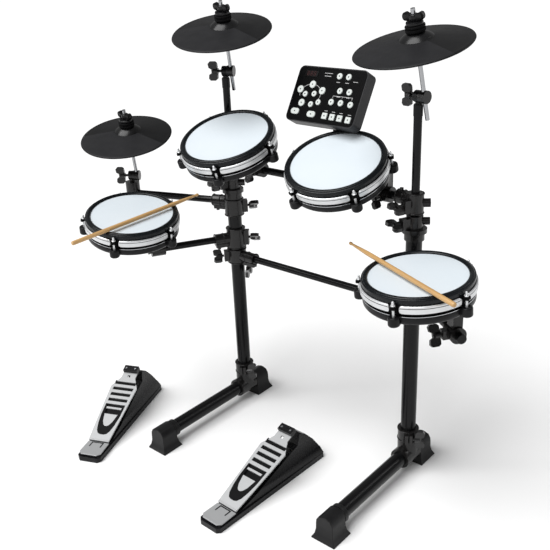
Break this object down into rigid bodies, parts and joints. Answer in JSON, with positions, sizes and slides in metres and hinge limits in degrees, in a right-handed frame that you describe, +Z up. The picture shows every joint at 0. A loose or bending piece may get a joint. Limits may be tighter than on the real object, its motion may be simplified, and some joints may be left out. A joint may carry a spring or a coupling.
{
  "type": "electronic drum kit on a tube rack",
  "caption": "Compact electronic drum kit with mesh-head pads and rubber cymbal pads on a black tube rack, with a sound module, foot pedals and wooden sticks",
  "frame": {"origin": "on the floor under the middle of the kit's bounding box", "axes": "+X to the player's right along the rack's cross bars, +Y away from the player, +Z up"},
  "size_m": [1.2079, 0.6064, 1.1453],
  "materials": {
    "rack_tube": "gloss black powder coat",
    "clamp_plastic": "satin black nylon",
    "foot_rubber": "matte black rubber",
    "rim_rubber": "smooth black rubber",
    "cymbal_rubber": "charcoal rubber",
    "hoop_chrome": "bright chrome",
    "rod_steel": "bright plated steel",
    "mesh": "fine woven white mesh",
    "shell_plastic": "satin black plastic",
    "trigger_foam": "dark foam",
    "case_plastic": "satin dark grey plastic",
    "panel_plastic": "gloss black front panel",
    "display_glass": "dark display window",
    "key_plastic": "white keys",
    "board_fibre": "circuit board",
    "pedal_plate": "brushed silver plate",
    "pedal_base": "satin black moulding",
    "wood": "natural maple"
  },
  "bodies": {
    "stand": {"main_tubes": "rack_tube", "lower_bar": "rack_tube", "fixed_clamps": "clamp_plastic", "wing_bolts": "clamp_plastic", "feet": "foot_rubber", "pedal_bases": "pedal_base", "heel_plates": "pedal_plate"},
    "upper_rack": {"masts": "rack_tube", "upper_bar": "rack_tube", "upper_clamps": "clamp_plastic", "module_bracket": "clamp_plastic"},
    "crash_left_stand": {"crash_left_rod": "rod_steel", "crash_left_fittings": "rim_rubber"},
    "crash_left": {"crash_left_cymbal": "cymbal_rubber"},
    "crash_right_stand": {"crash_right_rod": "rod_steel", "crash_right_fittings": "rim_rubber"},
    "crash_right": {"crash_right_cymbal": "cymbal_rubber"},
    "hat_stand": {"hat_rod": "rod_steel", "hat_fittings": "rim_rubber"},
    "hat": {"hat_cymbal": "cymbal_rubber"},
    "hat_support": {"hat_clamp": "clamp_plastic", "hat_arm": "rack_tube"},
    "tom3_support": {"tom3_clamp": "clamp_plastic", "tom3_arm": "rack_tube"},
    "snare_support": {"snare_clamp": "clamp_plastic", "snare_arm": "rack_tube"},
    "snare": {"snare_head": "mesh", "snare_rim": "rim_rubber", "snare_hoop": "hoop_chrome", "snare_shell": "shell_plastic", "snare_trigger": "trigger_foam", "snare_mount": "clamp_plastic"},
    "tom1": {"tom1_head": "mesh", "tom1_rim": "rim_rubber", "tom1_hoop": "hoop_chrome", "tom1_shell": "shell_plastic", "tom1_trigger": "trigger_foam", "tom1_mount": "clamp_plastic"},
    "tom2": {"tom2_head": "mesh", "tom2_rim": "rim_rubber", "tom2_hoop": "hoop_chrome", "tom2_shell": "shell_plastic", "tom2_trigger": "trigger_foam", "tom2_mount": "clamp_plastic"},
    "tom3": {"tom3_head": "mesh", "tom3_rim": "rim_rubber", "tom3_hoop": "hoop_chrome", "tom3_shell": "shell_plastic", "tom3_trigger": "trigger_foam", "tom3_mount": "clamp_plastic"},
    "module": {"module_case": "case_plastic", "module_panel": "panel_plastic", "module_display": "display_glass", "module_board": "board_fibre"},
    "pad_keys": {"pad_keys": "key_plastic"},
    "menu_keys": {"menu_keys": "key_plastic"},
    "kick_footboard": {"kick_footboard": "pedal_plate"},
    "hat_footboard": {"hat_footboard": "pedal_plate"},
    "stick_left": {"stick_left": "wood"},
    "stick_right": {"stick_right": "wood"}
  },
  "joints": [
    {"name": "upper_rack_height", "type": "slide", "parent": "stand", "child": "upper_rack", "axis": [0, 0, 1], "range_m": [0, 0.06]},
    {"name": "hat_arm_swing", "type": "hinge", "parent": "stand", "child": "hat_support", "pos_m": [-0.21345, 0.21533, 0.62], "axis": [0, 0, 1], "range_deg": [-12, 5]},
    {"name": "tom3_arm_swing", "type": "hinge", "parent": "stand", "child": "tom3_support", "pos_m": [-0.21345, 0.21533, 0.516], "axis": [0, 0, 1], "range_deg": [-6, 6]},
    {"name": "snare_arm_swing", "type": "hinge", "parent": "stand", "child": "snare_support", "pos_m": [0.35655, 0.21533, 0.5], "axis": [0, 0, 1], "range_deg": [-8, 8]},
    {"name": "crash_left_tilt", "type": "hinge", "parent": "upper_rack", "child": "crash_left_stand", "pos_m": [-0.21345, 0.21533, 0.97], "axis": [0.8988, 0.4384, 0], "range_deg": [-12, 12]},
    {"name": "crash_left_rock", "type": "hinge", "parent": "crash_left_stand", "child": "crash_left", "pos_m": [-0.18876, 0.20121, 1.052], "axis": [0.8988, 0.4384, 0], "range_deg": [-4, 4], "stiffness_Nm_per_rad": 2},
    {"name": "crash_right_tilt", "type": "hinge", "parent": "upper_rack", "child": "crash_right_stand", "pos_m": [0.35655, 0.21533, 0.954], "axis": [0.9848, -0.1736, 0], "range_deg": [-12, 12]},
    {"name": "crash_right_rock", "type": "hinge", "parent": "crash_right_stand", "child": "crash_right", "pos_m": [0.36847, 0.1908, 1.04259], "axis": [0.9848, -0.1736, 0], "range_deg": [-4, 4], "stiffness_Nm_per_rad": 2},
    {"name": "hat_tilt", "type": "hinge", "parent": "hat_support", "child": "hat_stand", "pos_m": [-0.51695, 0.11383, 0.672], "axis": [0.829, 0.5592, 0], "range_deg": [-12, 12]},
    {"name": "hat_rock", "type": "hinge", "parent": "hat_stand", "child": "hat", "pos_m": [-0.48866, 0.1005, 0.77588], "axis": [0.829, 0.5592, 0], "range_deg": [-4, 4], "stiffness_Nm_per_rad": 2},
    {"name": "snare_tilt", "type": "hinge", "parent": "snare_support", "child": "snare", "pos_m": [0.35655, 0.21533, 0.5], "axis": [0.8121, -0.5835, 0], "range_deg": [-8, 8]},
    {"name": "tom1_tilt", "type": "hinge", "parent": "upper_rack", "child": "tom1", "pos_m": [0.07155, 0.21533, 0.725], "axis": [1, 0, 0], "range_deg": [-5, 8]},
    {"name": "tom2_tilt", "type": "hinge", "parent": "upper_rack", "child": "tom2", "pos_m": [0.07155, 0.21533, 0.725], "axis": [1, 0, 0], "range_deg": [-7, 0]},
    {"name": "tom3_tilt", "type": "hinge", "parent": "tom3_support", "child": "tom3", "pos_m": [-0.21345, 0.21533, 0.516], "axis": [-0.5, -0.866, 0], "range_deg": [-8, 8]},
    {"name": "module_lean", "type": "hinge", "parent": "upper_rack", "child": "module", "pos_m": [0.09955, 0.27333, 0.884], "axis": [1, 0, 0], "range_deg": [-12, 0]},
    {"name": "pad_keys_press", "type": "slide", "parent": "module", "child": "pad_keys", "axis": [0.0304, 0.8698, -0.4924], "range_m": [0, 0.001], "stiffness_N_per_m": 800},
    {"name": "menu_keys_press", "type": "slide", "parent": "module", "child": "menu_keys", "axis": [0.0304, 0.8698, -0.4924], "range_m": [0, 0.001], "stiffness_N_per_m": 800},
    {"name": "kick_footboard_press", "type": "hinge", "parent": "stand", "child": "kick_footboard", "pos_m": [-0.3544, -0.23215, 0.02435], "axis": [0.9135, 0.4067, 0], "range_deg": [-4, 0], "stiffness_Nm_per_rad": 20, "springref_deg": 3.44},
    {"name": "hat_footboard_press", "type": "hinge", "parent": "stand", "child": "hat_footboard", "pos_m": [0.11671, -0.20943, 0.02435], "axis": [0.9998, -0.0175, 0], "range_deg": [-4, 0], "stiffness_Nm_per_rad": 20, "springref_deg": 3.44},
    {"name": "stick_left_lift", "type": "slide", "parent": "tom3", "child": "stick_left", "axis": [0.1685, -0.0896, 0.9816], "range_m": [0, 0.06]},
    {"name": "stick_right_lift", "type": "slide", "parent": "snare", "child": "stick_right", "axis": [-0.0368, -0.079, 0.9962], "range_m": [0, 0.06]}
  ]
}
